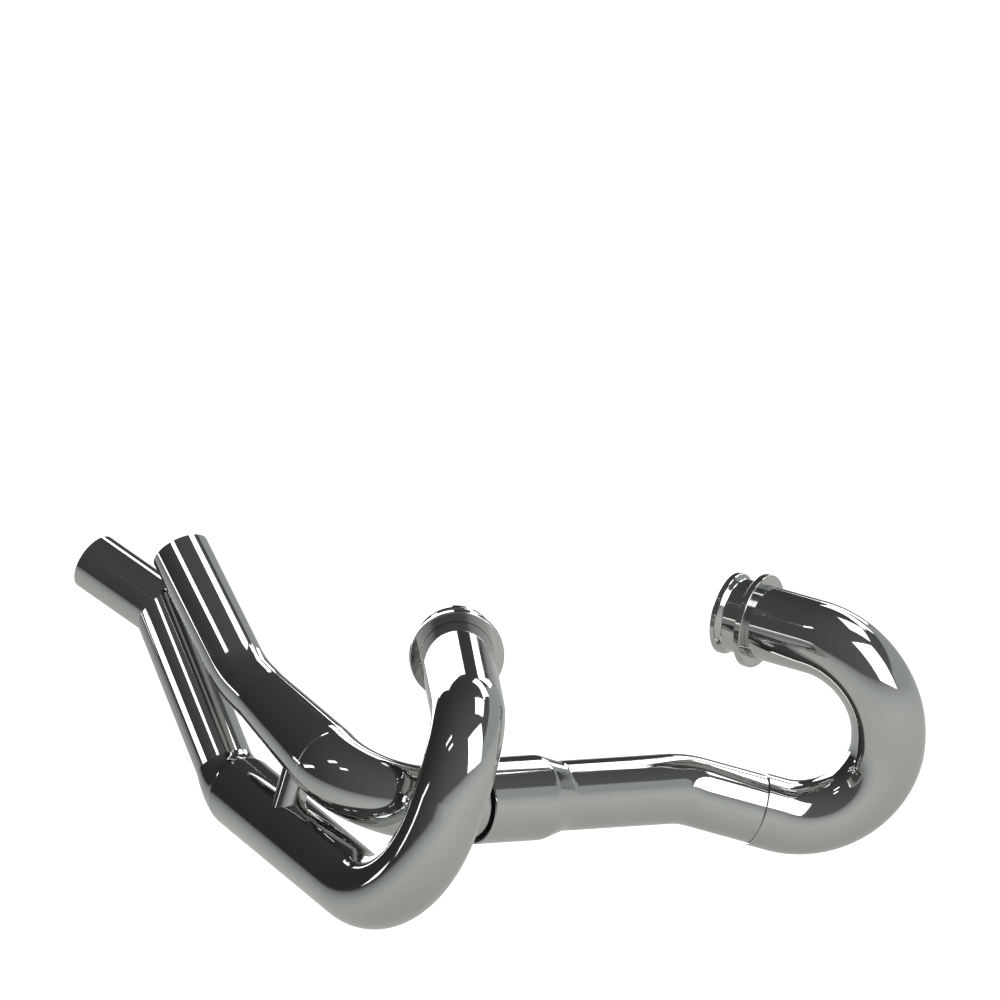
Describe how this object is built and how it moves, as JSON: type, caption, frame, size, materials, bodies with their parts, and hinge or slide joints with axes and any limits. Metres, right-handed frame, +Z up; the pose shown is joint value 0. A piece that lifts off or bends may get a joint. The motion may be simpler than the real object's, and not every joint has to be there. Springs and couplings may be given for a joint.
{
  "type": "motorcycle exhaust header",
  "caption": "Polished motorcycle exhaust header: flared port ends with sliding discs, tight bends, a slip-jointed pipe that crosses over, and stacked outlets linked by a balance tube.",
  "frame": {"origin": "centre of the right port end, where the tube meets the cylinder head", "axes": "+X forward on the motorcycle, +Y to the rider's left, +Z up"},
  "size_m": [0.4395, 0.438, 0.2225],
  "materials": {
    "polished_steel": "mirror polish",
    "flange_steel": "turned and polished",
    "gasket": "matt dark grey"
  },
  "bodies": {
    "root": {"right_header_tube": "polished_steel", "right_port_flange": "flange_steel", "right_reducing_elbow": "polished_steel", "right_riser_tube": "polished_steel", "right_outlet_tube": "polished_steel", "left_header_tube": "polished_steel", "left_port_flange": "flange_steel", "cross_pipe": "polished_steel", "socket_gasket": "gasket", "left_rear_bend": "polished_steel", "left_reducer": "polished_steel", "left_outlet_tube": "polished_steel", "crossover_tube": "polished_steel"}
  },
  "joints": []
}
